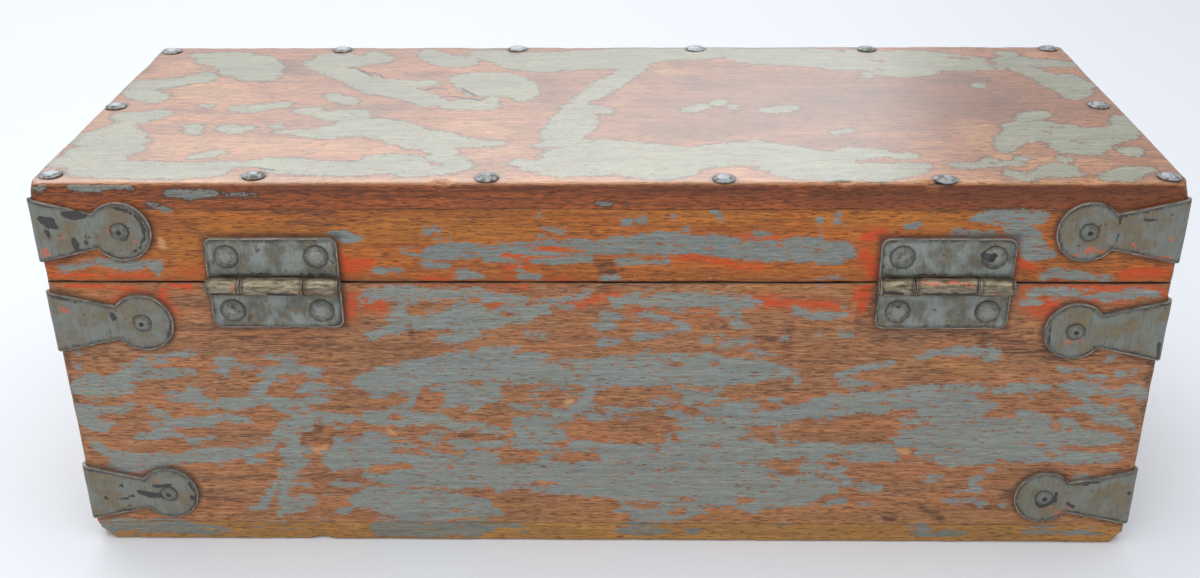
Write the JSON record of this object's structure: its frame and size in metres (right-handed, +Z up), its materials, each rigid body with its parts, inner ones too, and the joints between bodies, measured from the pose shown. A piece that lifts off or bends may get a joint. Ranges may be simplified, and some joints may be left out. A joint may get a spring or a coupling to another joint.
{
  "type": "strapped storage box",
  "caption": "Small hardwood box with a butt-hinged lid, keyhole-shaped iron corner straps, domed nails and a slotted hasp over a staple.",
  "frame": {"origin": "centre of the flat underside of the base board", "axes": "+Z up; -Y to the front with the hasp; +Y to the back with the hinges; +X to the right seen from the front, along the longest side"},
  "size_m": [0.4372, 0.1972, 0.1641],
  "materials": {
    "case_wood": "brown hardwood under worn blue-grey paint and remains of orange-red primer, satin",
    "lid_wood": "paler rubbed hardwood with remains of blue-grey paint, satin",
    "strap_iron": "sheet iron, dirty grey paint worn at the edges",
    "hinge_iron": "rolled sheet iron, dirty grey paint, barrel worn bright",
    "hasp_iron": "sheet and bar iron, dirty grey paint worn at the edges",
    "pin_steel": "drawn wire with peened ends, dull",
    "nail_iron": "dark domed heads, rubbed bright on top",
    "brad_iron": "dark and rusty, sunk flush"
  },
  "bodies": {
    "case": {"back_board": "case_wood", "base_board": "case_wood", "base_nails": "brad_iron", "case_corner_nails": "brad_iron", "case_hinge_nails": "nail_iron", "case_strap_nails": "nail_iron", "front_board": "case_wood", "hasp_pin": "pin_steel", "hasp_plate": "hasp_iron", "hasp_plate_nails": "nail_iron", "left_end_board": "case_wood", "left_hinge_case_leaf": "hinge_iron", "left_hinge_pin": "pin_steel", "lower_strap_back_left": "strap_iron", "lower_strap_back_right": "strap_iron", "lower_strap_front_left": "strap_iron", "lower_strap_front_right": "strap_iron", "right_end_board": "case_wood", "right_hinge_case_leaf": "hinge_iron", "right_hinge_pin": "pin_steel", "upper_strap_back_left": "strap_iron", "upper_strap_back_right": "strap_iron", "upper_strap_front_left": "strap_iron", "upper_strap_front_right": "strap_iron"},
    "lid": {"left_hinge_lid_leaf": "hinge_iron", "lid_back_rail": "lid_wood", "lid_corner_nails": "brad_iron", "lid_front_rail": "lid_wood", "lid_hinge_nails": "nail_iron", "lid_left_rail": "lid_wood", "lid_right_rail": "lid_wood", "lid_strap_back_left": "strap_iron", "lid_strap_back_right": "strap_iron", "lid_strap_front_left": "strap_iron", "lid_strap_front_right": "strap_iron", "lid_strap_nails": "nail_iron", "lid_top_board": "lid_wood", "lid_top_nails": "nail_iron", "right_hinge_lid_leaf": "hinge_iron", "staple": "hasp_iron"},
    "hasp": {"hasp_strap": "hasp_iron"}
  },
  "joints": [
    {"name": "lid_hinge", "type": "hinge", "parent": "case", "child": "lid", "pos_m": [0, 0.0903, 0.12185], "axis": [-1, 0, 0], "range_deg": [0, 180]},
    {"name": "hasp_swing", "type": "hinge", "parent": "case", "child": "hasp", "pos_m": [0, -0.0907, 0.099], "axis": [-1, 0, 0], "range_deg": [0, 180]}
  ]
}
